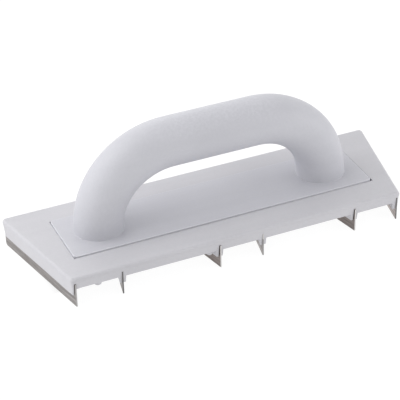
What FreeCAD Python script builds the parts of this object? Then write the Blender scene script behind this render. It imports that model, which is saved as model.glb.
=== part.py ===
import FreeCAD, Part
import math
import os
import re

import Sketcher

# Plasterer's blade float: a flat moulded body that carries six steel blades in a zigzag,
# and a hollow D handle whose base plate is let into the deck and screwed on from below.
#
# Frame: X along the float, Y from the front wall to the back wall, Z up.
# The origin is under the middle of the body, at the height of the blades' lower edges.
# The float is a mirror image of itself about X = 0, apart from four small studs, the cut-back
# ribs in the end walls and the play of its parts: the base plate sits to the left in its
# recess, and the blades that lean to the left sit to the right and forward in wider slots.

DIMENSIONS = [
    # body: outline
    ("body_depth", 100.0, "front wall to back wall, at the deck"),
    ("front_half_length", 135.6, "middle to end wall, along the front edge of the deck"),
    ("end_run", 20.7, "how far each end wall and each blade runs sideways over the depth"),
    ("deck_top", 24.1, "height of the deck above the blades' lower edges"),
    ("deck_thickness", 3.2, "thickness of the deck outside the recess"),
    ("edge_band", 2.7, "height of the deck's edge above the parting line"),
    ("parting_step", 0.3, "set-back of the walls under the parting line"),
    ("edge_radius", 2.55, "rounding of the deck's edge"),
    ("corner_radius", 3.2, "rounding of the deck's four corners"),
    ("wall_corner_radius", 2.5, "rounding of the upright corners under the deck"),
    ("wall_bottom", 14.75, "height of the front and back walls' lower edges"),
    ("wall_thickness", 2.8, "thickness of the front and back walls"),
    ("wall_draft", 4.4, "draft of the walls and holder ribs, in degrees"),
    ("foot_edge_radius", 0.5, "rounding of the walls' and ribs' lower edges"),
    # body: recess and pan
    ("recess_depth", 2.5, "depth of the recess for the handle's base plate"),
    ("recess_edge_radius", 0.25, "rounding of the recess's upper edge"),
    ("plate_left_gap", 0.1, "gap between the base plate and the recess's left end"),
    ("plate_right_gap", 0.9, "gap between the base plate and the recess's right end"),
    ("plate_side_gap", 0.35, "gap between the base plate and the recess's front and back"),
    ("pan_margin", 3.2, "rim of the pan that hangs under the recess"),
    ("pan_bottom", 18.6, "height of the pan's underside"),
    ("stay_offset", 37.0, "middle line to each long stiffening rib"),
    ("stay_width", 1.8, "thickness of the stiffening ribs"),
    ("stay_bottom", 16.8, "height of the stiffening ribs' lower edges"),
    # blades and their holders
    ("inner_blade_offset", 28.0, "middle to the innermost blades, at mid depth"),
    ("middle_blade_offset", 85.85, "middle to the next blades, at mid depth"),
    ("outer_blade_offset", 143.15, "middle to the outermost blades, at mid depth"),
    ("blade_thickness", 1.0, "sheet thickness of a blade"),
    ("blade_setback", 0.2, "gap from a blade's end to the deck's outline"),
    ("blade_front_radius", 0.3, "rounding of a blade's lower front corner"),
    ("blade_back_radius", 2.5, "rounding of a blade's lower back corner"),
    ("slot_play", 0.05, "gap between a blade and the sides of its slot"),
    ("slot_wide_play", 0.35, "the same on the left of the blades that lean to the left"),
    ("blade_slide", 0.6, "how far forward the blades that lean to the left sit"),
    ("slot_top", 19.5, "height of the slots' roofs and of the blades' upper edges"),
    ("holder_half_width", 3.2, "blade plane to a holder rib's outer side, at its root"),
    ("holder_bottom", 9.0, "height of the holder ribs' lower edges"),
    ("end_rib_setback", 6.0, "deck's outline to the cut-back ends of the end walls' inner ribs"),
    ("holder_setback", 0.4, "holder rib's end to the deck's outline, at its root"),
    ("pin_radius", 1.2, "radius of a blade pin"),
    ("pin_clearance", 0.05, "radial clearance of the holes for the blade pins"),
    ("pin_height", 14.0, "height of the blade pins' axes"),
    ("pin_offset", 33.0, "middle of a blade to each pin, along the blade"),
    ("pin_outer_reach", 1.3, "blade plane to the pin's end in the outer rib"),
    ("pin_inner_reach", 3.1, "blade plane to the pin's end in the inner rib"),
    ("pin_chamfer", 0.3, "chamfer of the pins' ends"),
    # moulded studs behind the front and back walls
    ("stud_radius", 2.6, "radius of the small moulded studs"),
    ("stud_edge_radius", 0.8, "rounding of the studs' lower edges"),
    ("stud_bottom", 11.7, "height of the studs' lower faces"),
    ("stud_depth_offset", 45.4, "middle line to the studs' centres"),
    ("stud_near_offset", 25.0, "middle to the inner studs"),
    ("stud_far_offset", 114.0, "middle to the outer studs"),
    # handle
    ("plate_half_length", 124.0, "half the length of the base plate"),
    ("plate_front", 25.0, "middle line to the base plate's front edge"),
    ("plate_back", 28.8, "middle line to the base plate's back edge"),
    ("plate_top", 25.2, "height of the base plate's upper face"),
    ("plate_corner_radius", 3.0, "rounding of the base plate's corners"),
    ("plate_edge_radius", 0.45, "rounding of the base plate's upper edge"),
    ("tube_radius", 19.1, "radius of the tubular grip"),
    ("bore_radius", 14.9, "radius of the hollow inside the grip"),
    ("foot_offset", 93.6, "middle to the axis of each foot"),
    ("handle_offset", 4.0, "middle line to the plane of the grip"),
    ("grip_height", 85.4, "height of the grip's axis"),
    ("bend_radius", 58.6, "radius of the bends, at the tube's axis"),
    ("foot_fillet", 0.45, "fillet between the tube and the base plate"),
    # screws and their bosses
    ("screw_offset", 100.0, "middle to the screws"),
    ("screw_spread", 9.0, "plane of the grip to each screw"),
    ("screw_radius", 1.95, "radius of a screw's shank over its thread"),
    ("screw_length", 20.0, "length of a screw under its head"),
    ("screw_head_radius", 4.0, "radius of a screw's head"),
    ("screw_head_height", 2.5, "height of a screw's head"),
    ("screw_face_radius", 2.8, "radius of the flat on a screw's head"),
    ("screw_head_side", 1.5, "height of the upright side of a screw's head"),
    ("screw_point_length", 2.9, "length of a screw's tapered point"),
    ("screw_point_radius", 0.4, "radius of the flat at a screw's point"),
    ("cross_reach", 2.2, "middle to the end of each arm of the cross recess"),
    ("cross_half_width", 0.55, "half the width of the arms of the cross recess"),
    ("cross_depth", 1.5, "depth of the cross recess"),
    ("pilot_radius", 2.0, "radius of the screw holes in the handle"),
    ("pilot_top", 39.4, "height of the screw holes' ends"),
    ("boss_radius", 4.3, "radius of the screw bosses in the feet"),
    ("boss_top", 41.9, "height of the screw bosses' upper faces"),
    ("tower_radius", 6.0, "radius of the screw towers under the deck"),
    ("tower_bottom", 13.6, "height of the screw towers' lower faces"),
    ("seat_height", 16.6, "height of the seats under the screw heads"),
    ("seat_radius", 4.4, "radius of the counterbores for the screw heads"),
    ("passage_radius", 2.3, "radius of the screw holes through the body"),
    # joins and cuts
    ("root_overlap", 0.3, "how far the parts under the deck reach up into it"),
    ("cut_overrun", 2.0, "how far a cut runs past the material"),
]

TOLERANCE = 1e-4

PLACES = ("inner", "middle", "outer")
SLOPE = "(end_run / body_depth)"
SECANT = f"sqrt(1 + {SLOPE} * {SLOPE})"
WALL_TOP = "deck_top - edge_band"
DECK_UNDERSIDE = "deck_top - deck_thickness"
RECESS_FLOOR = "deck_top - recess_depth"

doc = FreeCAD.newDocument("BladeFloat")
sizes = doc.addObject("Spreadsheet::Sheet", "Sizes")
for row, (alias, value, meaning) in enumerate(DIMENSIONS, start=1):
    sizes.set(f"A{row}", alias)
    sizes.set(f"B{row}", str(value))
    sizes.set(f"C{row}", meaning)
    sizes.setAlias(f"B{row}", alias)
ALIASES = {alias for alias, value, meaning in DIMENSIONS}
doc.recompute()


# ---- expressions --------------------------------------------------------------------------

def bound(text):
    """Turn the plain names in an expression into references to the sheet."""
    return re.sub(r"[a-z_]+", lambda word: "Sizes." + word.group()
                  if word.group() in ALIASES else word.group(), text)


def number(text):
    """Value of an expression, for a sketch's first guess."""
    return float(sizes.evalExpression(bound(text)))


def bind(item, field, text):
    item.setExpression(field, bound(text))


# ---- sketches -----------------------------------------------------------------------------

def new_body(name):
    body = doc.addObject("PartDesign::Body", name)
    body.Label = name
    doc.recompute()
    return body


def new_sketch(body, name, plane, offset):
    """Sketch on one of the body's own origin planes, moved along the plane's normal."""
    sketch = body.newObject("Sketcher::SketchObject", name)
    support = [item for item in body.Origin.OriginFeatures if item.Role == plane][0]
    sketch.AttachmentSupport = [(support, "")]
    sketch.MapMode = "FlatFace"
    bind(sketch, ".AttachmentOffset.Base.z", offset)
    return sketch


def place_point(sketch, geometry, end, across, up):
    """Fix one end of a geometry at two expressions, measured from the sketch's origin."""
    for kind, text in (("DistanceX", across), ("DistanceY", up)):
        index = sketch.addConstraint(
            Sketcher.Constraint(kind, -1, 1, geometry, end, number(text)))
        bind(sketch, f"Constraints[{index}]", text)


def add_polygon(sketch, corners):
    """Closed outline through corners given as pairs of expressions."""
    points = [FreeCAD.Vector(number(across), number(up), 0) for across, up in corners]
    first = sketch.GeometryCount
    count = len(corners)
    for side in range(count):
        sketch.addGeometry(Part.LineSegment(points[side], points[(side + 1) % count]))
    for side in range(count):
        following = first + (side + 1) % count
        sketch.addConstraint(Sketcher.Constraint("Coincident", first + side, 2, following, 1))
    for side, (across, up) in enumerate(corners):
        place_point(sketch, first + side, 1, across, up)


def add_circle(sketch, across, up, radius):
    centre = FreeCAD.Vector(number(across), number(up), 0)
    circle = sketch.addGeometry(
        Part.Circle(centre, FreeCAD.Vector(0, 0, 1), number(radius)))
    place_point(sketch, circle, 3, across, up)
    index = sketch.addConstraint(Sketcher.Constraint("Radius", circle, number(radius)))
    bind(sketch, f"Constraints[{index}]", radius)


def polygon_sketch(body, name, height, *outlines, plane="XY_Plane"):
    sketch = new_sketch(body, name, plane, height)
    for corners in outlines:
        add_polygon(sketch, corners)
    return sketch


def circle_sketch(body, name, height, circles, plane="XY_Plane"):
    sketch = new_sketch(body, name, plane, height)
    for across, up, radius in circles:
        add_circle(sketch, across, up, radius)
    return sketch


# ---- features -----------------------------------------------------------------------------

def extrude(body, kind, name, sketch, length, down=False, draft=None, both_ways=False):
    """Pad or Pocket of a sketch; a pad that goes down tapers inwards by its draft."""
    before = body.Tip.Shape.Volume if kind == "PartDesign::Pocket" else 0.0
    feature = body.newObject(kind, name)
    feature.Profile = sketch
    feature.Reversed = down
    feature.Midplane = both_ways
    bind(feature, "Length", length)
    if draft:
        bind(feature, "TaperAngle", f"-{draft}")
    doc.recompute()
    if kind == "PartDesign::Pocket":
        assert feature.Shape.Volume < before - 1e-3, f"{name} cuts nothing"
    return feature


def pad(body, name, sketch, length, **options):
    return extrude(body, "PartDesign::Pad", name, sketch, length, **options)


def pocket(body, name, sketch, length, **options):
    return extrude(body, "PartDesign::Pocket", name, sketch, length, **options)


def fillet(body, name, radius, wanted):
    """Round the edges of the body's tip that pass a test."""
    base = body.Tip
    chosen = [f"Edge{index}" for index, edge in enumerate(base.Shape.Edges, start=1)
              if wanted(edge)]
    assert chosen, f"{name} finds no edge"
    feature = body.newObject("PartDesign::Fillet", name)
    feature.Base = (base, chosen)
    bind(feature, "Radius", radius)
    doc.recompute()
    return feature


def at_height(edge, height):
    """True where the whole edge lies at one height."""
    box = edge.BoundBox
    return abs(box.ZMin - height) < TOLERANCE and abs(box.ZMax - height) < TOLERANCE


def upright(edge, height):
    """True where the edge rises by the given height."""
    return abs(edge.BoundBox.ZLength - number(height)) < TOLERANCE


# ---- outlines -----------------------------------------------------------------------------

def deck_outline(inset):
    """Trapezoid of the deck, moved inwards by inset; its back edge is the longer one."""
    edge = f"(body_depth / 2 - {inset})"
    middle = f"(front_half_length + end_run / 2 - {inset} * {SECANT})"
    front = f"({middle} - {SLOPE} * {edge})"
    back = f"({middle} + {SLOPE} * {edge})"
    return [(f"-{front}", f"-{edge}"), (front, f"-{edge}"), (back, edge), (f"-{back}", edge)]


def between_end_walls(reach):
    """Trapezoid between the inner faces of the end walls, out to reach front and back."""
    middle = f"(outer_blade_offset - holder_half_width * {SECANT})"
    front = f"({middle} - {SLOPE} * {reach})"
    back = f"({middle} + {SLOPE} * {reach})"
    return [(f"-{front}", f"-{reach}"), (front, f"-{reach}"), (back, reach), (f"-{back}", reach)]


def band(centre, lean, left, right, reach):
    """Strip along a blade's plane, from left to right of it, out to reach front and back.

    The plane passes centre at mid depth; lean is 1 where it runs to +X going back, else -1.
    """
    corners = []
    for side, end in ((left, -1), (right, -1), (right, 1), (left, 1)):
        across = f"({centre}) + {lean * end} * {SLOPE} * ({reach}) + ({side}) * {SECANT}"
        corners.append((across, f"{end} * ({reach})"))
    return corners


def rectangle(half_length, front, back):
    return [(f"-({half_length})", f"-({front})"), (half_length, f"-({front})"),
            (half_length, back), (f"-({half_length})", back)]


def screw_places():
    """Centres of the four screws, as pairs of expressions."""
    return [(f"{side} * screw_offset", f"handle_offset + {way} * screw_spread")
            for side in (-1, 1) for way in (-1, 1)]


def blade_planes():
    """Each blade from left to right: mid-depth position, lean, side of the middle."""
    left = [(f"-{place}_blade_offset", lean, -1)
            for place, lean in zip(reversed(PLACES), (-1, 1, -1))]
    right = [(f"{place}_blade_offset", lean, 1)
             for place, lean in zip(PLACES, (1, -1, 1))]
    return left + right


# ---- body ---------------------------------------------------------------------------------

def make_body():
    """Deck, walls, blade holders, recess for the handle, screw towers and studs."""
    body = new_body("body")
    walls = polygon_sketch(body, "WallOutline", WALL_TOP, deck_outline("parting_step"))
    wall_height = f"{WALL_TOP} - holder_bottom"
    pad(body, "Walls", walls, wall_height, down=True, draft="wall_draft")
    fillet(body, "WallCorners", "wall_corner_radius", lambda edge: upright(edge, wall_height))
    pad(body, "Deck", polygon_sketch(body, "DeckOutline", WALL_TOP, deck_outline("0")),
        "edge_band")
    fillet(body, "DeckCorners", "corner_radius", lambda edge: upright(edge, "edge_band"))
    fillet(body, "DeckEdge", "edge_radius", lambda edge: at_height(edge, number("deck_top")))
    inside = between_end_walls("(body_depth / 2 - parting_step - wall_thickness)")
    hollow = polygon_sketch(body, "HollowOutline", DECK_UNDERSIDE, inside)
    pocket(body, "Hollow", hollow, "deck_top")
    across = between_end_walls("(body_depth / 2 + wall_thickness)")
    pocket(body, "LowFrontAndBack", polygon_sketch(body, "LowOutline", "wall_bottom", across),
           "wall_bottom")
    fillet(body, "FrontAndBackFeet", "foot_edge_radius",
           lambda edge: at_height(edge, number("wall_bottom")))
    fillet(body, "EndWallFeet", "foot_edge_radius",
           lambda edge: at_height(edge, number("holder_bottom")))
    cut_end_ribs(body)

    pan = polygon_sketch(body, "PanOutline", "pan_bottom", rectangle(
        "plate_half_length + pan_margin", "plate_front + pan_margin", "plate_back + pan_margin"))
    pad(body, "Pan", pan, f"{DECK_UNDERSIDE} - pan_bottom + root_overlap")
    make_stays(body)
    make_holders(body)
    make_towers(body)
    studs = [("-stud_far_offset", "-stud_depth_offset", "stud_radius"),
             ("-stud_near_offset", "-stud_depth_offset", "stud_radius"),
             ("stud_far_offset", "stud_depth_offset", "stud_radius"),
             ("stud_near_offset", "stud_depth_offset", "stud_radius")]
    pad(body, "Studs", circle_sketch(body, "StudCircles", "stud_bottom", studs),
        f"{DECK_UNDERSIDE} - stud_bottom + root_overlap")
    fillet(body, "StudEdges", "stud_edge_radius",
           lambda edge: at_height(edge, number("stud_bottom")))
    cut_recess(body)
    cut_blade_slots(body)
    cut_screw_passages(body)
    cut_pin_holes(body)
    return body


def cut_end_ribs(body):
    """Cut back the inner rib of the left end wall at the front, of the right one at the back."""
    near, far = "blade_thickness / 2", "holder_half_width + cut_overrun"
    outside, inside = "body_depth / 2 + cut_overrun", "body_depth / 2 - end_rib_setback"
    outlines = [[(f"{side} * (outer_blade_offset - ({out}) * {SECANT}) + {SLOPE} * ({reach})",
                  f"{side} * ({reach})")
                 for out, reach in ((near, outside), (far, outside), (far, inside), (near, inside))]
                for side in (-1, 1)]
    sketch = polygon_sketch(body, "EndRibOutlines", "wall_bottom", *outlines)
    pocket(body, "EndRibs", sketch, "wall_bottom")


def make_stays(body):
    """Two long ribs under the deck, between the end walls."""
    for name, side in (("FrontStay", -1), ("BackStay", 1)):
        line = f"{side} * stay_offset"
        middle = f"(front_half_length + end_run / 2 - wall_thickness + {SLOPE} * {line})"
        near, far = f"{line} - stay_width / 2", f"{line} + stay_width / 2"
        outline = [(f"-{middle}", near), (middle, near), (middle, far), (f"-{middle}", far)]
        sketch = polygon_sketch(body, name + "Outline", DECK_UNDERSIDE, outline)
        pad(body, name, sketch, f"{DECK_UNDERSIDE} - stay_bottom", down=True)


def make_holders(body):
    """A drafted block along each of the four middle blades; its slot splits it into two ribs.

    The outermost blades stand in the end walls, which are as thick as a pair of ribs.
    """
    reach = "body_depth / 2 - holder_setback"
    blocks = [band(centre, lean, "-holder_half_width", "holder_half_width", reach)
              for centre, lean, side in blade_planes()[1:5]]
    sketch = polygon_sketch(body, "HolderOutlines", DECK_UNDERSIDE, *blocks)
    pad(body, "Holders", sketch, f"{DECK_UNDERSIDE} - holder_bottom",
        down=True, draft="wall_draft")
    fillet(body, "HolderFeet", "foot_edge_radius",
           lambda edge: at_height(edge, number("holder_bottom"))
           and abs(edge.BoundBox.Center.x) < number("outer_blade_offset - end_run"))


def make_towers(body):
    """Round towers that carry the screw heads."""
    circles = [(across, up, "tower_radius") for across, up in screw_places()]
    sketch = circle_sketch(body, "TowerCircles", "tower_bottom", circles)
    pad(body, "Towers", sketch, "pan_bottom - tower_bottom + root_overlap")
    fillet(body, "TowerEdges", "foot_edge_radius",
           lambda edge: at_height(edge, number("tower_bottom")))


def cut_recess(body):
    left, right = "-(plate_half_length + plate_left_gap)", "plate_half_length + plate_right_gap"
    front, back = "-(plate_front + plate_side_gap)", "plate_back + plate_side_gap"
    outline = [(left, front), (right, front), (right, back), (left, back)]
    sketch = polygon_sketch(body, "RecessOutline", "deck_top", outline)
    pocket(body, "Recess", sketch, "recess_depth")
    fillet(body, "RecessEdge", "recess_edge_radius",
           lambda edge: at_height(edge, number("deck_top"))
           and abs(edge.BoundBox.Center.x) < number("front_half_length - edge_radius")
           and abs(edge.BoundBox.Center.y) < number("body_depth / 2 - 2 * edge_radius"))


def cut_blade_slots(body):
    """One straight slot for each blade, open below and at the front and back."""
    reach = "body_depth / 2 + cut_overrun"
    near, wide = "(blade_thickness / 2 + slot_play)", "(blade_thickness / 2 + slot_wide_play)"
    slots = [band(centre, lean, f"-{wide if lean < 0 else near}", near, reach)
             for centre, lean, side in blade_planes()]
    sketch = polygon_sketch(body, "SlotOutlines", "slot_top", *slots)
    pocket(body, "Slots", sketch, "slot_top")


def cut_screw_passages(body):
    seats = [(across, up, "seat_radius") for across, up in screw_places()]
    pocket(body, "Seats", circle_sketch(body, "SeatCircles", "seat_height", seats),
           "seat_height")
    passages = [(across, up, "passage_radius") for across, up in screw_places()]
    sketch = circle_sketch(body, "PassageCircles", RECESS_FLOOR, passages)
    pocket(body, "Passages", sketch, RECESS_FLOOR)


def cut_pin_holes(body):
    """Blind holes from the inner side of each blade, square to it."""
    plane = [item for item in body.Origin.OriginFeatures if item.Role == "XY_Plane"][0]
    for order, (centre, lean, side) in enumerate(blade_planes(), start=1):
        for end, way in (("Front", -1), ("Back", 1)):
            hole = body.newObject("PartDesign::SubtractiveCylinder", f"PinHole{order}{end}")
            hole.AttachmentSupport = [(plane, "")]
            hole.MapMode = "FlatFace"
            bind(hole, "Radius", "pin_radius + pin_clearance")
            bind(hole, "Height", "pin_outer_reach + holder_half_width + cut_overrun")
            bind(hole, "AttachmentOffset", pin_placement(centre, lean, side, way))
            doc.recompute()


def slide(lean):
    """How far forward a blade sits in its slot."""
    return "blade_slide" if lean < 0 else "0"


def pin_placement(centre, lean, side, way):
    """Placement of a pin: its axis points from the outer rib to the inner one.

    The pin stands square to its blade, pin_offset in front of or behind the blade's middle.
    """
    along = f"({way} * pin_offset / {SECANT} - {slide(lean)})"
    across = f"(pin_outer_reach / {SECANT})"
    base = (f"vector({centre} + {lean} * {SLOPE} * {along} + {side} * {across}; "
            f"{along} - {lean * side} * {SLOPE} * {across}; pin_height)")
    turn = f"{-90 * side} - {lean} * atan(end_run / body_depth) / 1deg"
    return (f"placement({base}; "
            f"rotation(vector(0; 0; 1); {turn}) * rotation(vector(1; 0; 0); 90))")


# ---- handle -------------------------------------------------------------------------------

def tube_path(body):
    """Centre line of the tube: up from one foot, over two bends, down to the other."""
    sketch = new_sketch(body, "TubePath", "XZ_Plane", "-handle_offset")
    floor, spring = RECESS_FLOOR, "grip_height - bend_radius"
    bend_start = "foot_offset - bend_radius"
    stops = [("-foot_offset", floor), ("-foot_offset", spring), (f"-({bend_start})", "grip_height"),
             (bend_start, "grip_height"), ("foot_offset", spring), ("foot_offset", floor)]
    points = [FreeCAD.Vector(number(across), number(up), 0) for across, up in stops]
    radius = number("bend_radius")
    left = Part.ArcOfCircle(Part.Circle(FreeCAD.Vector(points[2].x, points[1].y, 0),
                                        FreeCAD.Vector(0, 0, 1), radius),
                            math.pi / 2, math.pi)
    right = Part.ArcOfCircle(Part.Circle(FreeCAD.Vector(points[3].x, points[4].y, 0),
                                         FreeCAD.Vector(0, 0, 1), radius),
                             0, math.pi / 2)
    sketch.addGeometry(Part.LineSegment(points[0], points[1]))
    sketch.addGeometry(left)
    sketch.addGeometry(Part.LineSegment(points[2], points[3]))
    sketch.addGeometry(right)
    sketch.addGeometry(Part.LineSegment(points[4], points[5]))
    for one, one_end, other, other_end in ((0, 2, 1, 2), (1, 1, 2, 1), (2, 2, 3, 2), (3, 1, 4, 1)):
        sketch.addConstraint(Sketcher.Constraint("Tangent", one, one_end, other, other_end))
    place_point(sketch, 0, 1, *stops[0])
    place_point(sketch, 1, 3, f"-({bend_start})", spring)
    place_point(sketch, 3, 3, bend_start, spring)
    place_point(sketch, 4, 2, *stops[5])
    return sketch


def sweep_tube(body, kind, name, path, radius):
    circle = circle_sketch(body, name + "Circle", RECESS_FLOOR,
                           [("-foot_offset", "handle_offset", radius)])
    pipe = body.newObject(kind, name)
    pipe.Profile = circle
    pipe.Spine = (path, [f"Edge{index}" for index in range(1, 6)])
    doc.recompute()
    return pipe


def make_handle():
    """Hollow tube on a base plate, with two screw bosses inside each foot."""
    body = new_body("handle")
    plate = polygon_sketch(body, "PlateOutline", RECESS_FLOOR,
                           rectangle("plate_half_length", "plate_front", "plate_back"))
    thickness = f"plate_top - ({RECESS_FLOOR})"
    pad(body, "Plate", plate, thickness)
    fillet(body, "PlateCorners", "plate_corner_radius", lambda edge: upright(edge, thickness))
    fillet(body, "PlateEdge", "plate_edge_radius",
           lambda edge: at_height(edge, number("plate_top")))
    path = tube_path(body)
    sweep_tube(body, "PartDesign::AdditivePipe", "Tube", path, "tube_radius")
    fillet(body, "FootFillets", "foot_fillet",
           lambda edge: at_height(edge, number("plate_top")) and around_tube(edge))
    sweep_tube(body, "PartDesign::SubtractivePipe", "Bore", path, "bore_radius")
    bosses = [(across, up, "boss_radius") for across, up in screw_places()]
    pad(body, "Bosses", circle_sketch(body, "BossCircles", RECESS_FLOOR, bosses),
        f"boss_top - ({RECESS_FLOOR})")
    pilots = [(across, up, "pilot_radius") for across, up in screw_places()]
    pocket(body, "Pilots", circle_sketch(body, "PilotCircles", RECESS_FLOOR, pilots),
           f"pilot_top - ({RECESS_FLOOR})", down=True)
    return body


def around_tube(edge):
    """True for round edges with the tube's radius."""
    curve = edge.Curve
    return isinstance(curve, Part.Circle) and abs(curve.Radius - number("tube_radius")) < TOLERANCE


# ---- blades and fasteners -----------------------------------------------------------------

def make_blade(order, centre, lean):
    """Flat steel blade, drawn in its own plane and then stood in its slot."""
    body = new_body(f"blade_{order}")
    half = f"((body_depth / 2 - blade_setback) * {SECANT})"
    outline = [(f"-{half}", "0"), (half, "0"), (half, "slot_top"), (f"-{half}", "slot_top")]
    sketch = polygon_sketch(body, f"BladeOutline{order}", "0", outline, plane="XZ_Plane")
    pad(body, f"BladeSheet{order}", sketch, "blade_thickness", both_ways=True)
    for name, radius, end in (("Front", "blade_front_radius", -1),
                              ("Back", "blade_back_radius", 1)):
        fillet(body, f"Blade{name}Corner{order}", radius,
               lambda edge: at_height(edge, 0.0) and edge.BoundBox.XLength < TOLERANCE
               and edge.BoundBox.Center.x * end > 0)
    holes = [(f"{way} * pin_offset", "pin_height", "pin_radius + pin_clearance")
             for way in (-1, 1)]
    sketch = circle_sketch(body, f"BladeHoles{order}", "0", holes, plane="XZ_Plane")
    pocket(body, f"BladePinHoles{order}", sketch, "2 * blade_thickness", both_ways=True)
    turn = f"90 - {lean} * atan(end_run / body_depth) / 1deg"
    bind(body, "Placement",
         f"placement(vector({centre} - {lean} * {SLOPE} * {slide(lean)}; -{slide(lean)}; 0); "
         f"rotation(vector(0; 0; 1); {turn}))")
    return body


def revolve(body, name, profile):
    """Turn a half profile, given as radius and height, about the body's Z axis."""
    sketch = polygon_sketch(body, name + "Profile", "0", profile, plane="XZ_Plane")
    turned = body.newObject("PartDesign::Revolution", name)
    turned.Profile = sketch
    turned.ReferenceAxis = (sketch, ["V_Axis"])
    turned.Angle = 360
    doc.recompute()
    return turned


def make_pin(order, centre, lean, side, end, way):
    body = new_body(f"blade_pin_{order}_{end}")
    length = "(pin_outer_reach + pin_inner_reach)"
    profile = [("0", "0"), ("pin_radius - pin_chamfer", "0"), ("pin_radius", "pin_chamfer"),
               ("pin_radius", f"{length} - pin_chamfer"),
               ("pin_radius - pin_chamfer", length), ("0", length)]
    revolve(body, f"Pin{order}{end}", profile)
    bind(body, "Placement", pin_placement(centre, lean, side, way))
    return body


def make_screw(order, across, up):
    """Pan-head tapping screw with a cross recess, pointing up from its seat."""
    body = new_body(f"handle_screw_{order}")
    profile = [("0", "-screw_head_height"), ("screw_face_radius", "-screw_head_height"),
               ("screw_head_radius", "-screw_head_side"), ("screw_head_radius", "0"),
               ("screw_radius", "0"), ("screw_radius", "screw_length - screw_point_length"),
               ("screw_point_radius", "screw_length"), ("0", "screw_length")]
    revolve(body, f"Screw{order}", profile)
    arm, half = "cross_reach", "cross_half_width"
    cross = [(f"-{half}", f"-{arm}"), (half, f"-{arm}"), (half, f"-{half}"), (arm, f"-{half}"),
             (arm, half), (half, half), (half, arm), (f"-{half}", arm), (f"-{half}", half),
             (f"-{arm}", half), (f"-{arm}", f"-{half}"), (f"-{half}", f"-{half}")]
    sketch = polygon_sketch(body, f"ScrewCross{order}", "-screw_head_height", cross)
    pocket(body, f"ScrewRecess{order}", sketch, "cross_depth", down=True)
    bind(body, "Placement", f"placement(vector({across}; {up}; seat_height); "
                            "rotation(vector(0; 0; 1); 0))")
    return body


# ---- assembly -----------------------------------------------------------------------------

pieces = [make_body(), make_handle()]
for order, (centre, lean, side) in enumerate(blade_planes(), start=1):
    pieces.append(make_blade(order, centre, lean))
    for end, way in (("front", -1), ("back", 1)):
        pieces.append(make_pin(order, centre, lean, side, end, way))
for order, (across, up) in enumerate(screw_places(), start=1):
    pieces.append(make_screw(order, across, up))
doc.recompute()

for item in doc.Objects:
    assert "Invalid" not in item.State and "Error" not in item.State, item.Name
os.makedirs("parts", exist_ok=True)
for piece in pieces:
    shape = piece.Shape
    assert not shape.isNull() and shape.isValid() and len(shape.Solids) == 1, piece.Label
    shape.exportStep(f"parts/{piece.Label}.step")
    print(piece.Label, round(shape.Volume, 1), "mm3")
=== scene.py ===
import math

import bmesh
import bpy
from mathutils import Matrix, Vector


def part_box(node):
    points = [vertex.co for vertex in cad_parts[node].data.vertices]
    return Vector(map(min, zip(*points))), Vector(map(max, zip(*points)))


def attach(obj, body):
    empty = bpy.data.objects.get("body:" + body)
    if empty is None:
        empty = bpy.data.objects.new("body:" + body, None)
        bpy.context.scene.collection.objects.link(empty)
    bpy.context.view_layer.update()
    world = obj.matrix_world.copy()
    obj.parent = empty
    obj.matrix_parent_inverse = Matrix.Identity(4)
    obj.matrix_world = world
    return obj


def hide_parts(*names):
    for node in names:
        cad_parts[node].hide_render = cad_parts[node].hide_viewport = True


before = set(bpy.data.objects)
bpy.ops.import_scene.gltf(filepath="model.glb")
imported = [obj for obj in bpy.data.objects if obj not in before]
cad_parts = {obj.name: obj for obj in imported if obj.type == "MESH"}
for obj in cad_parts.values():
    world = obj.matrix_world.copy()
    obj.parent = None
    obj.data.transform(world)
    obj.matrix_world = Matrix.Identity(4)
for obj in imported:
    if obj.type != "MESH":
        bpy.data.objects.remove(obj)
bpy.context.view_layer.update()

MM = 0.001

# ---- sizes of the float, as in the CAD --------------------------------------------

HALF_DEPTH = 50.0 * MM
FRONT_HALF_LENGTH = 135.6 * MM
END_RUN = 20.7 * MM
DECK_TOP = 24.1 * MM
SLOT_FOOT = 14.75 * MM
SLOPE = END_RUN / (2 * HALF_DEPTH)

BLADE_ANGLE = math.atan(SLOPE)
BLADE_SETBACK = 0.2 * MM
BLADE_HALF_LENGTH = (HALF_DEPTH - BLADE_SETBACK) / math.cos(BLADE_ANGLE)
BLADE_HEIGHT = 19.5 * MM
BLADE_THICKNESS = 1.0 * MM
BLADE_FRONT_RADIUS = 0.3 * MM
BLADE_BACK_RADIUS = 2.5 * MM

PIN_HEIGHT = 14.0 * MM
PIN_OFFSET = 33.0 * MM
PIN_HOLE_RADIUS = 1.25 * MM
PIN_RADIUS = 1.2 * MM
PIN_HALF_LENGTH = 2.2 * MM

SCREW_HEAD_HEIGHT = 2.5 * MM
SCREW_HEAD_RADIUS = 4.0 * MM
SCREW_LENGTH = 20.0 * MM

# ---- details that only the meshes have --------------------------------------------

CORNER_STEPS = 8
ROUND_SEGMENTS = 32
SCREW_SEGMENTS = 48

# Blades: width of the broken edges, then depth and height of the ground lower edge.
BLADE_EDGE = 0.10 * MM
GROUND_EDGE = 0.18 * MM
GROUND_HEIGHT = 0.25 * MM
GROUND_REACH = 0.2 * MM
BLADE_SMOOTH_ANGLE = math.radians(25)

# Pins: rounding of the ends, middles of the grooves, and for each point of a groove
# its place along the pin and its depth.
PIN_ROUNDING = 0.3 * MM
PIN_ROUNDING_STEPS = 5
PIN_GROOVES = (-0.9 * MM, 0.0, 0.9 * MM)
PIN_GROOVE_POINTS = ((-0.25 * MM, 0.0), (-0.12 * MM, 0.1 * MM),
                     (0.12 * MM, 0.1 * MM), (0.25 * MM, 0.0))
TURNED_SMOOTH_ANGLE = math.radians(35)

# Screws: domed heads. The rim's broken edge has a width and a height.
SCREW_FACE_RADIUS = 2.8 * MM
SCREW_DOME_FOOT = 1.3 * MM
SCREW_DOME_STEPS = 6
SCREW_RIM_BREAK = (0.15 * MM, 0.25 * MM)
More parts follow.
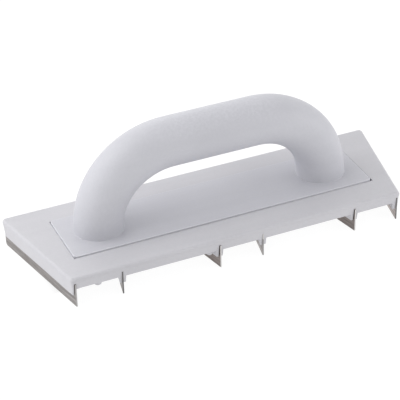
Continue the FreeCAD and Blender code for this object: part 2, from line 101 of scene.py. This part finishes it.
# Screws: cross recesses in the heads; the floor is the mouth made smaller.
CROSS_REACH = 2.2 * MM
CROSS_HALF_WIDTH = 0.55 * MM
CROSS_DEPTH = 1.5 * MM
CROSS_FLOOR_SCALE = 0.62
# Screws: threads. Each flank of the ridge takes up a quarter of the pitch.
SCREW_RIDGE_RADIUS = 1.95 * MM
SCREW_CORE_RADIUS = 1.4 * MM
SCREW_TIP_RADIUS = 0.35 * MM
SCREW_NECK_RADIUS = SCREW_RIDGE_RADIUS - 0.1 * MM
SCREW_NECK_LENGTH = 0.5 * MM
SCREW_POINT_LENGTH = 2.9 * MM
SCREW_PITCH = 1.6 * MM
SCREW_RINGS_PER_PITCH = 8
SCREW_RIDGE_FLANK = 0.25

# ---- looks of the pieces ----------------------------------------------------------

# Plastics: dark and light tint, how much brighter than light the palest places are, and
# how far scuffs and wear, with the painted highlight along the handle plate's rim, go
# towards that.
BODY_TINTS = ((0.535, 0.530, 0.56), (0.585, 0.580, 0.61))
HANDLE_TINTS = ((0.53, 0.53, 0.57), (0.58, 0.58, 0.62))
PLASTIC_SPECULAR = 0.42
PLASTIC_ROUGHNESS = 0.40
PALEST = 1.16
SCUFF_PALING = 0.30
WEAR_AND_HIGHLIGHT_PALING = 0.35
PLASTIC_GRAIN = {"Strength": 0.10, "Distance": 0.10 * MM}
PLASTIC_WAVES = {"Strength": 0.25, "Distance": 0.5 * MM}

# Wear of the deck: distances from the edge where it begins and where it is full,
# the same below the top, and its amount.
DECK_WEAR_IN = (2.0 * MM, 0.7 * MM)
DECK_WEAR_DOWN = (1.8 * MM, 0.5 * MM)
DECK_WEAR = 0.4

# Wear of the handle: heights and distances from the middle between which the palm's
# wear changes. Then the width and amount of a painted highlight along the rim of the
# plate.
PALM_HEIGHTS = (90.0 * MM, 104.0 * MM)
PALM_REACHES = (30.0 * MM, 70.0 * MM)
PLATE_RIM = 0.9 * MM
PLATE_RIM_HIGHLIGHT = 3.0

# Plated steels: dark and light tint, and noise scale of the dulled patches.
PIN_LOOKS = ((0.46, 0.46, 0.46), (0.66, 0.66, 0.65), 600.0)
SCREW_LOOKS = ((0.50, 0.49, 0.45), (0.72, 0.71, 0.67), 420.0)
PLATED_ROUGHNESS = 0.24
PLATED_MARKS = {"Strength": 0.15, "Distance": 0.05 * MM}

# Blades from left to right: brightness of the faces, a painted shade that darkens some
# blades and lightens others; their warmth; and brightness of the cut ends below the
# walls and in the slots, which is painted shade and painted light there too.
BLADE_TINTS_AND_PAINTED_SHADES = (
    (0.88, 0.05, 0.44, 0.44),
    (1.00, 0.05, 0.17, 0.17),
    (0.60, 0.12, 0.66, 0.66),
    (1.05, 0.05, 0.36, 0.60),
    (0.54, 0.12, 0.66, 0.66),
    (1.20, 0.09, 0.19, 0.19),
)
STEEL_DARK = 0.24
STEEL_LIGHT = 0.45
STEEL_STAIN = 0.27
STAIN_WARMTH = 0.04
CUT_END_WARMTH = 0.02
STAIN_AMOUNT = 0.6
GROUND_TINT = (0.60, 0.58, 0.56)
GROUND_AMOUNT = 0.3
STEEL_ROUGHNESS = 0.36
STEEL_MARKS = {"Strength": 0.22, "Distance": 0.08 * MM}
STEEL_MARK_SHIFT = (0.37, 0.0, 0.23)
# Where looks change smoothly: the ground edge between two heights, the cut ends
# between two distances from the end, and in the slots this far below and above the
# slot's foot.
GROUND_FADE = (0.15 * MM, 0.6 * MM)
CUT_END_FADE = (0.16 * MM, 0.08 * MM)
SLOT_FOOT_FADE = 0.4 * MM

# ---- view: camera, light and floor ------------------------------------------------

CAMERA_YAW = math.radians(-23.44)
CAMERA_PITCH = math.radians(32.64)
CAMERA_ROLL = math.radians(-1.29)
CAMERA_DISTANCE = 1.2538
CAMERA_SHIFT = (-0.0114, 0.02189)
CAMERA_LENS = 145.05
CAMERA_CLIP = (0.05, 20.0)
SENSOR_WIDTH = 36.0

# Soft boxes: place, the point each one faces, and power in watts.
SOFT_BOX_SIZE = 0.45
SOFT_BOXES = {
    "soft_box_left": ((-0.5, 0.0, 0.5), (-0.05, 0.0, 0.0), 0.74),
    "soft_box_left_back": ((-0.5, 0.35, 0.4), (-0.05, 0.0, 0.0), 0.68),
    "soft_box_back": ((0.0, 0.55, 0.4), (0.0, 0.0, 0.02), 0.40),
    "soft_box_above": ((-0.3, 0.1, 0.6), (-0.1, 0.0, 0.0), 0.45),
    "soft_box_right": ((0.5, -0.4, 0.35), (0.05, 0.0, 0.0), 0.57),
    "soft_box_low": ((0.6, -0.3, 0.12), (0.1, 0.0, 0.02), 0.52),
}

# Studio walls: their brightness in each direction is an even part and parts that
# grow to the right (below zero: to the left), to the back, to both sides, and to
# front and back.
WALLS_EVEN = 0.52
WALLS_TO_RIGHT = -0.02
WALLS_TO_BACK = 0.20
WALLS_SIDES = 0.73
WALLS_ENDS = 0.15

# Floor: it glows less under the body, a painted shadow there. The two ranges say where
# the glow rises, measured from the middle of the body along its length and its depth.
FLOOR_HALF = 6.0
FLOOR_ALBEDO = 0.12
FLOOR_GLOW = 0.94
FLOOR_GLOW_IN_PAINTED_SHADOW = 0.22
FLOOR_GLOW_ALONG = (0.110, 0.150)
FLOOR_GLOW_BACK = (0.014, 0.031)

WHITE = (1, 1, 1, 1)


def add_object(name, data):
    item = bpy.data.objects.new(name, data)
    bpy.context.scene.collection.objects.link(item)
    return item


def camera_axes():
    """Right, up and forward directions of the camera."""
    forward = Vector((-math.sin(CAMERA_YAW) * math.cos(CAMERA_PITCH),
                      math.cos(CAMERA_YAW) * math.cos(CAMERA_PITCH),
                      -math.sin(CAMERA_PITCH)))
    level = Vector((math.cos(CAMERA_YAW), math.sin(CAMERA_YAW), 0.0))
    upright = level.cross(forward)
    right = math.cos(CAMERA_ROLL) * level + math.sin(CAMERA_ROLL) * upright
    up = -math.sin(CAMERA_ROLL) * level + math.cos(CAMERA_ROLL) * upright
    return right, up, forward


def make_camera():
    right, up, forward = camera_axes()
    data = bpy.data.cameras.new("camera")
    data.lens = CAMERA_LENS
    data.sensor_width = SENSOR_WIDTH
    data.clip_start, data.clip_end = CAMERA_CLIP
    camera = add_object("camera", data)
    place = (right * CAMERA_SHIFT[0] + up * CAMERA_SHIFT[1]
             - forward * CAMERA_DISTANCE)
    camera.matrix_world = (Matrix.Translation(place)
                           @ Matrix((right, up, -forward)).transposed().to_4x4())
    bpy.context.scene.camera = camera


def make_soft_box(name, place, target, power):
    data = bpy.data.lights.new(name, "AREA")
    data.shape = "DISK"
    data.size = SOFT_BOX_SIZE
    data.energy = power
    lamp = add_object(name, data)
    direction = Vector(target) - Vector(place)
    lamp.matrix_world = (Matrix.Translation(Vector(place))
                         @ direction.to_track_quat("-Z", "Y").to_matrix().to_4x4())


# ---- materials --------------------------------------------------------------------

class Nodes:
    """Short ways to add and join nodes in one tree."""

    def __init__(self, tree):
        self.tree = tree

    def put(self, socket, value):
        if isinstance(value, bpy.types.NodeSocket):
            self.tree.links.new(value, socket)
        else:
            socket.default_value = value

    def add(self, kind, output=0, **inputs):
        node = self.tree.nodes.new("ShaderNode" + kind)
        for field, value in inputs.items():
            self.put(node.inputs[field], value)
        return node.outputs[output]

    def math(self, operation, first, second=0.0):
        node = self.tree.nodes.new("ShaderNodeMath")
        node.operation = operation
        self.put(node.inputs[0], first)
        self.put(node.inputs[1], second)
        return node.outputs[0]

    def distance(self, value):
        return self.math("ABSOLUTE", value)

    def weighted(self, *pairs):
        """Sum of values, each times its weight."""
        total = None
        for value, weight in pairs:
            part = self.math("MULTIPLY", value, weight)
            total = part if total is None else self.math("ADD", total, part)
        return total

    def split(self, vector):
        """X, Y and Z of a vector."""
        node = self.tree.nodes.new("ShaderNodeSeparateXYZ")
        self.put(node.inputs[0], vector)
        return list(node.outputs)

    def noise(self, vector, scale, detail):
        """Noise; three scales stretch it, one scale doesn't."""
        if isinstance(scale, tuple):
            vector = self.add("Mapping", Vector=vector, Scale=scale)
            scale = 1.0
        return self.add("TexNoise", Vector=vector, Scale=scale, Detail=detail)

    def rise(self, value, start, end, low=0.0, high=1.0):
        """Smooth step from low to high while value goes from start to end."""
        node = self.tree.nodes.new("ShaderNodeMapRange")
        node.interpolation_type = "SMOOTHSTEP"
        for field, amount in (("Value", value), ("From Min", start), ("From Max", end),
                              ("To Min", low), ("To Max", high)):
            self.put(node.inputs[field], amount)
        return node.outputs["Result"]

    def blend(self, factor, first, second):
        """Colour between two colours."""
        node = self.tree.nodes.new("ShaderNodeMix")
        node.data_type = "RGBA"
        self.put(node.inputs["Factor"], factor)
        for socket, value in ((node.inputs[6], first), (node.inputs[7], second)):
            linked = isinstance(value, bpy.types.NodeSocket)
            self.put(socket, value if linked else (*value, 1.0))
        return node.outputs[2]


def make_walls():
    world = bpy.data.worlds.new("studio")
    bpy.context.scene.world = world
    world.use_nodes = True
    nodes = Nodes(world.node_tree)
    across, depth = nodes.split(nodes.add("TexCoord", output="Generated"))[:2]
    light = nodes.math("ADD", WALLS_EVEN, nodes.weighted(
        (across, WALLS_TO_RIGHT), (depth, WALLS_TO_BACK),
        (nodes.math("MULTIPLY", across, across), WALLS_SIDES),
        (nodes.math("MULTIPLY", depth, depth), WALLS_ENDS)))
    # the camera itself sees walls that are white or brighter
    seen = nodes.add("LightPath", output="Is Camera Ray")
    background = world.node_tree.nodes["Background"]
    nodes.put(background.inputs["Strength"], nodes.math("MAXIMUM", light, seen))
    background.inputs["Color"].default_value = WHITE


def make_floor():
    mesh = bpy.data.meshes.new("floor")
    half = FLOOR_HALF
    corners = [(-half, -half, 0), (half, -half, 0), (half, half, 0), (-half, half, 0)]
    mesh.from_pydata(corners, [], [(0, 1, 2, 3)])
    floor = add_object("floor", mesh)
    material, shader, nodes = new_material("floor", specular=0.0)
    tree = material.node_tree
    shader.inputs["Base Color"].default_value = (*[FLOOR_ALBEDO] * 3, 1)
    shader.inputs["Roughness"].default_value = 1.0
    shader.inputs["Emission Color"].default_value = WHITE
    across, depth = nodes.split(nodes.add("TexCoord", output="Object"))[:2]
    # painted shadow: under the body the floor's glow drops to its lower value
    outside = nodes.math("MAXIMUM",
                         nodes.rise(nodes.distance(across), *FLOOR_GLOW_ALONG),
                         nodes.rise(nodes.distance(depth), *FLOOR_GLOW_BACK))
    nodes.put(shader.inputs["Emission Strength"], nodes.math(
        "ADD", FLOOR_GLOW_IN_PAINTED_SHADOW,
        nodes.math("MULTIPLY", outside, FLOOR_GLOW - FLOOR_GLOW_IN_PAINTED_SHADOW)))
    # from below the floor can't be seen, so that it doesn't hide the underside
    below = nodes.add("NewGeometry", output="Backfacing")
    surface = nodes.add("MixShader", Fac=below)
    nodes.put(surface.node.inputs[1], shader.outputs["BSDF"])
    nodes.put(surface.node.inputs[2], nodes.add("BsdfTransparent"))
    nodes.put(tree.nodes["Material Output"].inputs["Surface"], surface)
    mesh.materials.append(material)


def new_material(name, metallic=0.0, specular=0.5):
    material = bpy.data.materials.new(name)
    material.use_nodes = True
    shader = material.node_tree.nodes["Principled BSDF"]
    shader.inputs["Metallic"].default_value = metallic
    shader.inputs["Specular IOR Level"].default_value = specular
    return material, shader, Nodes(material.node_tree)


def moulded_plastic(name, tints, worn_and_highlit):
    """Satin moulded plastic: fine eroded grain, slow drift of tint, faint scuffs.

    The mask function gives where handling has polished and paled the surface, and on
    the handle also a painted highlight along the plate's rim.
    """
    material, shader, nodes = new_material(name, specular=PLASTIC_SPECULAR)
    dark, light = tints
    place = nodes.add("TexCoord", output="Object")
    drift = nodes.noise(place, scale=16.0, detail=3.0)
    mottle = nodes.noise(place, scale=520.0, detail=3.0)
    grain = nodes.noise(place, scale=2600.0, detail=2.0)
    flow = nodes.noise(place, scale=(6.0, 90.0, 90.0), detail=3.0)
    waves = nodes.noise(place, scale=55.0, detail=1.0)
    # scuffs: thin broken lines in two directions, in patches
    hair_along = nodes.noise(place, scale=(60.0, 1500.0, 1500.0), detail=2.0)
    hair_back = nodes.noise(place, scale=(1400.0, 90.0, 1400.0), detail=2.0)
    patch = nodes.noise(place, scale=45.0, detail=2.0)
    hair = nodes.math("MAXIMUM", nodes.rise(hair_along, 0.64, 0.74),
                      nodes.rise(hair_back, 0.66, 0.76))
    scuff = nodes.math("MULTIPLY", nodes.rise(patch, 0.52, 0.66), hair)
    # wear, and on the handle a painted highlight along the plate's rim
    wear_and_highlight = nodes.math("MULTIPLY", worn_and_highlit(nodes, place),
                      nodes.rise(mottle, 0.35, 0.7, 0.35, 1.0))

    tint = nodes.weighted((drift, 0.45), (mottle, 0.25), (flow, 0.30))
    color = nodes.blend(nodes.rise(tint, 0.3, 0.7), dark, light)
    pale = tuple(min(1.0, value * PALEST) for value in light)
    paled = nodes.weighted((scuff, SCUFF_PALING), (wear_and_highlight, WEAR_AND_HIGHLIGHT_PALING))
    nodes.put(shader.inputs["Base Color"], nodes.blend(paled, color, pale))
    nodes.put(shader.inputs["Roughness"], nodes.math(
        "ADD", PLASTIC_ROUGHNESS, nodes.weighted(
            (mottle, 0.10), (drift, 0.06), (scuff, 0.10), (wear_and_highlight, -0.10))))
    height = nodes.weighted((grain, 1.0), (mottle, 0.6), (scuff, -0.5))
    fine = nodes.add("Bump", Height=height, **PLASTIC_GRAIN)
    nodes.put(shader.inputs["Normal"],
              nodes.add("Bump", Height=waves, Normal=fine, **PLASTIC_WAVES))
    return material


def deck_wear(nodes, place):
    """Up to DECK_WEAR along the rounded edges of the deck."""
    along, back, height = nodes.split(place)
    half_length = nodes.math("ADD", FRONT_HALF_LENGTH + END_RUN / 2,
                             nodes.math("MULTIPLY", back, SLOPE))
    past_end = nodes.math("SUBTRACT", nodes.distance(along), half_length)
    begins, full = DECK_WEAR_IN
    edges = nodes.math("MAXIMUM",
                       nodes.rise(nodes.distance(back), HALF_DEPTH - begins,
                                  HALF_DEPTH - full),
                       nodes.rise(past_end, -begins, -full))
    begins, full = DECK_WEAR_DOWN
    top = nodes.rise(height, DECK_TOP - begins, DECK_TOP - full, 0.0, DECK_WEAR)
    return nodes.math("MULTIPLY", edges, top)


def handle_wear_and_rim_highlight(nodes, place):
    """1 on top of the grip, where the palm rests, and more along the plate's rim, where
    a painted highlight pales it.
    """
    along, back, height = nodes.split(place)
    palm = nodes.math("MULTIPLY", nodes.rise(height, *PALM_HEIGHTS),
                      nodes.rise(nodes.distance(along), *PALM_REACHES, 1.0, 0.0))
    low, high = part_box("handle")
    past_rim = []
    for value, start, end in ((along, low.x, high.x), (back, low.y, high.y)):
        middle, half = (start + end) / 2, (end - start) / 2
        from_middle = nodes.distance(nodes.math("SUBTRACT", value, middle))
        past_rim.append(nodes.rise(from_middle, half - PLATE_RIM, half - PLATE_RIM / 2))
    # painted highlight: the plate's rim is paled more than any wear
    rim = nodes.math("MULTIPLY", nodes.math("MAXIMUM", *past_rim), PLATE_RIM_HIGHLIGHT)
    return nodes.math("MAXIMUM", palm, rim)


def brushed_steel(name, dark, light, stain, painted_cut_ends, shift):
    """Rolled and ground steel sheet: long grind marks, stains, a bright lower edge.

    The cut-end colours paint shade and light on the cut ends below the walls and in the
    slots. shift moves the marks, so that no two blades match.
    """
    material, shader, nodes = new_material(name, metallic=1.0)
    own_place = nodes.add("TexCoord", output="Object")
    along, _, up = nodes.split(own_place)
    place = nodes.add("Mapping", Vector=own_place,
                      Location=[value * shift for value in STEEL_MARK_SHIFT])
    broad = nodes.noise(place, scale=(22.0, 22.0, 420.0), detail=3.0)
    fine = nodes.noise(place, scale=(70.0, 70.0, 3600.0), detail=2.0)
    cloud = nodes.noise(place, scale=75.0, detail=4.0)
    speck = nodes.noise(place, scale=900.0, detail=3.0)

    tint = nodes.weighted((broad, 0.55), (fine, 0.45))
    color = nodes.blend(nodes.rise(tint, 0.36, 0.64), dark, light)
    stained = nodes.math("MULTIPLY", nodes.rise(cloud, 0.46, 0.72), STAIN_AMOUNT)
    color = nodes.blend(stained, color, stain)
    ground = nodes.math("MULTIPLY", nodes.rise(up, *GROUND_FADE, 1.0, 0.0),
                        GROUND_AMOUNT)
    color = nodes.blend(ground, color, GROUND_TINT)
    # painted shade and light on the cut ends: one listed brightness below the slot's
    # foot, another in the slot
    in_slot = nodes.rise(up, SLOT_FOOT - SLOT_FOOT_FADE, SLOT_FOOT + SLOT_FOOT_FADE)
    at_end = nodes.rise(nodes.distance(along),
                        *[BLADE_HALF_LENGTH - value for value in CUT_END_FADE])
    color = nodes.blend(at_end, color, nodes.blend(in_slot, *painted_cut_ends))
    nodes.put(shader.inputs["Base Color"], color)
    nodes.put(shader.inputs["Roughness"], nodes.math(
        "ADD", STEEL_ROUGHNESS,
        nodes.weighted((fine, 0.12), (cloud, 0.14), (speck, 0.06))))
    height = nodes.weighted((fine, 1.0), (broad, 0.8), (speck, 0.3))
    nodes.put(shader.inputs["Normal"], nodes.add("Bump", Height=height, **STEEL_MARKS))
    return material


def plated_steel(name, dark, light, patch_scale):
    """Bright plated steel with turning marks and dulled patches."""
    material, shader, nodes = new_material(name, metallic=1.0)
    place = nodes.add("TexCoord", output="Object")
    rings = nodes.noise(place, scale=(120.0, 120.0, 5200.0), detail=2.0)
    cloud = nodes.noise(place, scale=patch_scale, detail=3.0)
    tint = nodes.weighted((rings, 0.4), (cloud, 0.6))
    nodes.put(shader.inputs["Base Color"],
              nodes.blend(nodes.rise(tint, 0.38, 0.62), dark, light))
    nodes.put(shader.inputs["Roughness"], nodes.math(
        "ADD", PLATED_ROUGHNESS, nodes.weighted((cloud, 0.22), (rings, 0.10))))
    height = nodes.weighted((rings, 1.0), (cloud, 0.5))
    nodes.put(shader.inputs["Normal"], nodes.add("Bump", Height=height, **PLATED_MARKS))
    return material


def tinted(value, warmth):
    """Grey of the given brightness, pulled towards brown by warmth."""
    return (value * (1 + 1.2 * warmth), value, value * (1 - 0.4 * warmth))


def blade_steel(order):
    # each blade takes the same steel under its own painted shade, on the faces and on
    # the cut ends
    shade, warmth, *end_shades = BLADE_TINTS_AND_PAINTED_SHADES[order - 1]
    return brushed_steel(f"blade_steel_{order}", tinted(STEEL_DARK * shade, warmth),
                         tinted(STEEL_LIGHT * shade, warmth),
                         tinted(STEEL_STAIN * shade, warmth + STAIN_WARMTH),
                         [tinted(value, CUT_END_WARMTH) for value in end_shades], order)


# ---- pieces -----------------------------------------------------------------------

def finish_piece(name, bm, matrix, material, node, smooth_angle):
    """Turn a bmesh into a placed piece that stands for a CAD node."""
    bmesh.ops.recalc_face_normals(bm, faces=bm.faces)
    mesh = bpy.data.meshes.new(name)
    bm.to_mesh(mesh)
    bm.free()
    mesh.shade_smooth()
    mesh.set_sharp_from_angle(angle=smooth_angle)
    mesh.materials.append(material)
    piece = add_object(name, mesh)
    piece.matrix_world = matrix
    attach(piece, "root")
    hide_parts(node)


def quarter_turn(steps):
    """Angles from 0 to 90 degrees."""
    return [math.pi / 2 * step / steps for step in range(steps + 1)]


def circle_points(centre, radius):
    turns = [2 * math.pi * step / ROUND_SEGMENTS for step in range(ROUND_SEGMENTS)]
    return [(centre[0] + radius * math.cos(turn), centre[1] + radius * math.sin(turn))
            for turn in turns]


def ring(bm, radius, height, segments):
    """Ring of vertices about Z; radius may be a function of the angle."""
    verts = []
    for step in range(segments):
        turn = 2 * math.pi * step / segments
        reach = radius(turn) if callable(radius) else radius
        place = (reach * math.cos(turn), reach * math.sin(turn), height)
        verts.append(bm.verts.new(place))
    return verts


def join_loops(bm, first, second):
    count = len(first)
    for step in range(count):
        following = (step + 1) % count
        bm.faces.new((first[step], first[following], second[following], second[step]))


def stack_rings(bm, rings):
    for lower, upper in zip(rings, rings[1:]):
        join_loops(bm, lower, upper)


def fill_between(bm, *loops):
    """Flat face inside the first loop and outside the others."""
    edges = []
    for loop in loops:
        for step in range(len(loop)):
            pair = (loop[step], loop[(step + 1) % len(loop)])
            edges.append(bm.edges.get(pair) or bm.edges.new(pair))
    bmesh.ops.triangle_fill(bm, use_beauty=True, use_dissolve=False, edges=edges)


def lean_of(order):
    """The way a blade leans in plan: even blades one way, odd blades the other."""
    return 1 if order % 2 == 0 else -1


def blade_outline(inset_side, inset_foot):
    """Blade's outline in its own plane, moved inwards; the foot has rounded corners."""
    half = BLADE_HALF_LENGTH
    left, right = -half + inset_side, half - inset_side
    top = BLADE_HEIGHT - inset_side
    points = [(right, top), (left, top)]
    for way, radius, start in ((-1, BLADE_FRONT_RADIUS, 180),
                               (1, BLADE_BACK_RADIUS, 270)):
        centre = (way * (half - radius), radius)
        for step in range(CORNER_STEPS + 1):
            turn = math.radians(start + 90 * step / CORNER_STEPS)
            down = max(0.0, -math.sin(turn))
            inset = inset_side + (inset_foot - inset_side) * down * down
            reach = max(radius - inset, BLADE_FRONT_RADIUS - GROUND_HEIGHT)
            points.append((centre[0] + reach * math.cos(turn),
                           centre[1] + reach * math.sin(turn)))
    return points


def loop_of(bm, points, depth):
    return [bm.verts.new((across, depth, up)) for across, up in points]


def make_blade(order, material):
    """Sheet with broken edges, a ground lower edge and two holes for its pins."""
    bm = bmesh.new()
    half = BLADE_THICKNESS / 2
    holes = [(way * PIN_OFFSET, PIN_HEIGHT) for way in (-1, 1)]
    rims = {}
    for side in (-1, 1):
        face_depth, rim_depth = side * half, side * (half - BLADE_EDGE)
        face = loop_of(bm, blade_outline(BLADE_EDGE, GROUND_HEIGHT), face_depth)
        rim = loop_of(bm, blade_outline(0.0, 0.0), rim_depth)
        for vert in rim:
            if vert.co.z < GROUND_REACH:
                vert.co.y = side * (half - GROUND_EDGE)
        join_loops(bm, face, rim)
        mouths = []
        for number, hole in enumerate(holes):
            mouth = loop_of(bm, circle_points(hole, PIN_HOLE_RADIUS + BLADE_EDGE),
                            face_depth)
            wall = loop_of(bm, circle_points(hole, PIN_HOLE_RADIUS), rim_depth)
            join_loops(bm, mouth, wall)
            mouths.append(mouth)
            rims[side, number] = wall
        fill_between(bm, face, *mouths)
        rims[side, "outline"] = rim
    for key in ("outline", 0, 1):
        join_loops(bm, rims[-1, key], rims[1, key])
    low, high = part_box(f"blade_{order}")
    matrix = (Matrix.Translation(((low.x + high.x) / 2, (low.y + high.y) / 2, 0.0))
              @ Matrix.Rotation(math.pi / 2 - lean_of(order) * BLADE_ANGLE, 4, "Z"))
    finish_piece(f"blade_{order}_ground", bm, matrix, material,
                 f"blade_{order}", BLADE_SMOOTH_ANGLE)


def pin_profile():
    """Radius and place along the pin of each ring, from one end to the other."""
    round_radius = PIN_RADIUS - PIN_ROUNDING
    round_place = PIN_HALF_LENGTH - PIN_ROUNDING
    turns = quarter_turn(PIN_ROUNDING_STEPS)
    profile = [(round_radius + PIN_ROUNDING * math.sin(turn),
                -round_place - PIN_ROUNDING * math.cos(turn)) for turn in turns]
    for groove in PIN_GROOVES:
        for offset, depth in PIN_GROOVE_POINTS:
            profile.append((PIN_RADIUS - depth, groove + offset))
    for turn in turns:
        profile.append((round_radius + PIN_ROUNDING * math.cos(turn),
                        round_place + PIN_ROUNDING * math.sin(turn)))
    return profile


def make_pin(order, end, material):
    """Turned pin with rounded ends and three shallow grooves."""
    bm = bmesh.new()
    rings = [ring(bm, radius, height, ROUND_SEGMENTS)
             for radius, height in pin_profile()]
    stack_rings(bm, rings)
    bm.faces.new(rings[0])
    bm.faces.new(rings[-1])
    low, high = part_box(f"blade_pin_{order}_{end}")
    matrix = (Matrix.Translation((low + high) / 2)
              @ Matrix.Rotation(-lean_of(order) * BLADE_ANGLE, 4, "Z")
              @ Matrix.Rotation(math.pi / 2, 4, "Y"))
    finish_piece(f"pin_{order}_{end}_turned", bm, matrix, material,
                 f"blade_pin_{order}_{end}", TURNED_SMOOTH_ANGLE)


def head_rings(bm):
    """Rings of a screw's domed head, from its face to its seat."""
    dome_radius = SCREW_HEAD_RADIUS - SCREW_FACE_RADIUS
    dome_height = SCREW_HEAD_HEIGHT - SCREW_DOME_FOOT
    break_width, break_height = SCREW_RIM_BREAK
    profile = [(SCREW_FACE_RADIUS, -SCREW_HEAD_HEIGHT)]
    for turn in quarter_turn(SCREW_DOME_STEPS)[1:]:
        profile.append((SCREW_FACE_RADIUS + dome_radius * math.sin(turn),
                        -SCREW_DOME_FOOT - dome_height * math.cos(turn)))
    profile += [(SCREW_HEAD_RADIUS, -break_height),
                (SCREW_HEAD_RADIUS - break_width, 0.0)]
    return [ring(bm, radius, height, SCREW_SEGMENTS) for radius, height in profile]


def thread_rings(bm):
    """Rings of a screw's neck, helical thread and blunt point."""
    rings = [ring(bm, SCREW_NECK_RADIUS, 0.0, SCREW_SEGMENTS),
             ring(bm, SCREW_CORE_RADIUS, SCREW_NECK_LENGTH, SCREW_SEGMENTS)]
    step = SCREW_PITCH / SCREW_RINGS_PER_PITCH
    level = SCREW_NECK_LENGTH + step
    while level < SCREW_LENGTH - 0.5 * step:
        grow = min(1.0, (level - SCREW_NECK_LENGTH) / SCREW_PITCH)
        shrink = min(1.0, (SCREW_LENGTH - level) / SCREW_POINT_LENGTH)
        core = SCREW_TIP_RADIUS + (SCREW_CORE_RADIUS - SCREW_TIP_RADIUS) * shrink
        ridge = (SCREW_RIDGE_RADIUS - SCREW_CORE_RADIUS) * grow * shrink

        def thread(turn, level=level, core=core, ridge=ridge):
            phase = (level / SCREW_PITCH - turn / (2 * math.pi)) % 1.0
            return core + ridge * max(0.0, 1.0 - abs(phase - 0.5) / SCREW_RIDGE_FLANK)

        rings.append(ring(bm, thread, level, SCREW_SEGMENTS))
        level += step
    rings.append(ring(bm, SCREW_TIP_RADIUS, SCREW_LENGTH, SCREW_SEGMENTS))
    return rings


def cross_corners():
    """Corners of a cross, anticlockwise from the foot of its lower arm."""
    arm, half = CROSS_REACH, CROSS_HALF_WIDTH
    return [(-half, -arm), (half, -arm), (half, -half), (arm, -half), (arm, half),
            (half, half), (half, arm), (-half, arm), (-half, half), (-arm, half),
            (-arm, -half), (-half, -half)]


def make_screw(order, material):
    """Pan-head tapping screw with a tapered cross recess, its head downwards."""
    bm = bmesh.new()
    rings = head_rings(bm) + thread_rings(bm)
    stack_rings(bm, rings)
    bm.faces.new(rings[-1])
    mouth = [bm.verts.new((x, y, -SCREW_HEAD_HEIGHT)) for x, y in cross_corners()]
    floor = [bm.verts.new((CROSS_FLOOR_SCALE * x, CROSS_FLOOR_SCALE * y,
                           -SCREW_HEAD_HEIGHT + CROSS_DEPTH))
             for x, y in cross_corners()]
    fill_between(bm, rings[0], mouth)
    join_loops(bm, mouth, floor)
    bm.faces.new(floor)
    low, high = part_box(f"handle_screw_{order}")
    matrix = Matrix.Translation(((low.x + high.x) / 2, (low.y + high.y) / 2,
                                 low.z + SCREW_HEAD_HEIGHT))
    finish_piece(f"screw_{order}_threaded", bm, matrix, material,
                 f"handle_screw_{order}", TURNED_SMOOTH_ANGLE)


# ---- the scene --------------------------------------------------------------------

make_camera()
make_walls()
make_floor()
for name, (place, target, power) in SOFT_BOXES.items():
    make_soft_box(name, place, target, power)
bpy.context.scene.view_settings.view_transform = "Standard"

for name, plastic in (("body", moulded_plastic("body_plastic", BODY_TINTS, deck_wear)),
                      ("handle", moulded_plastic("handle_plastic", HANDLE_TINTS,
                                                 handle_wear_and_rim_highlight))):
    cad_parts[name].data.materials.clear()
    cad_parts[name].data.materials.append(plastic)
pin_steel = plated_steel("pin_steel", *PIN_LOOKS)
screw_steel = plated_steel("screw_steel", *SCREW_LOOKS)
for order in range(1, 7):
    make_blade(order, blade_steel(order))
    for end in ("front", "back"):
        make_pin(order, end, pin_steel)
for order in range(1, 5):
    make_screw(order, screw_steel)

bpy.context.view_layer.update()
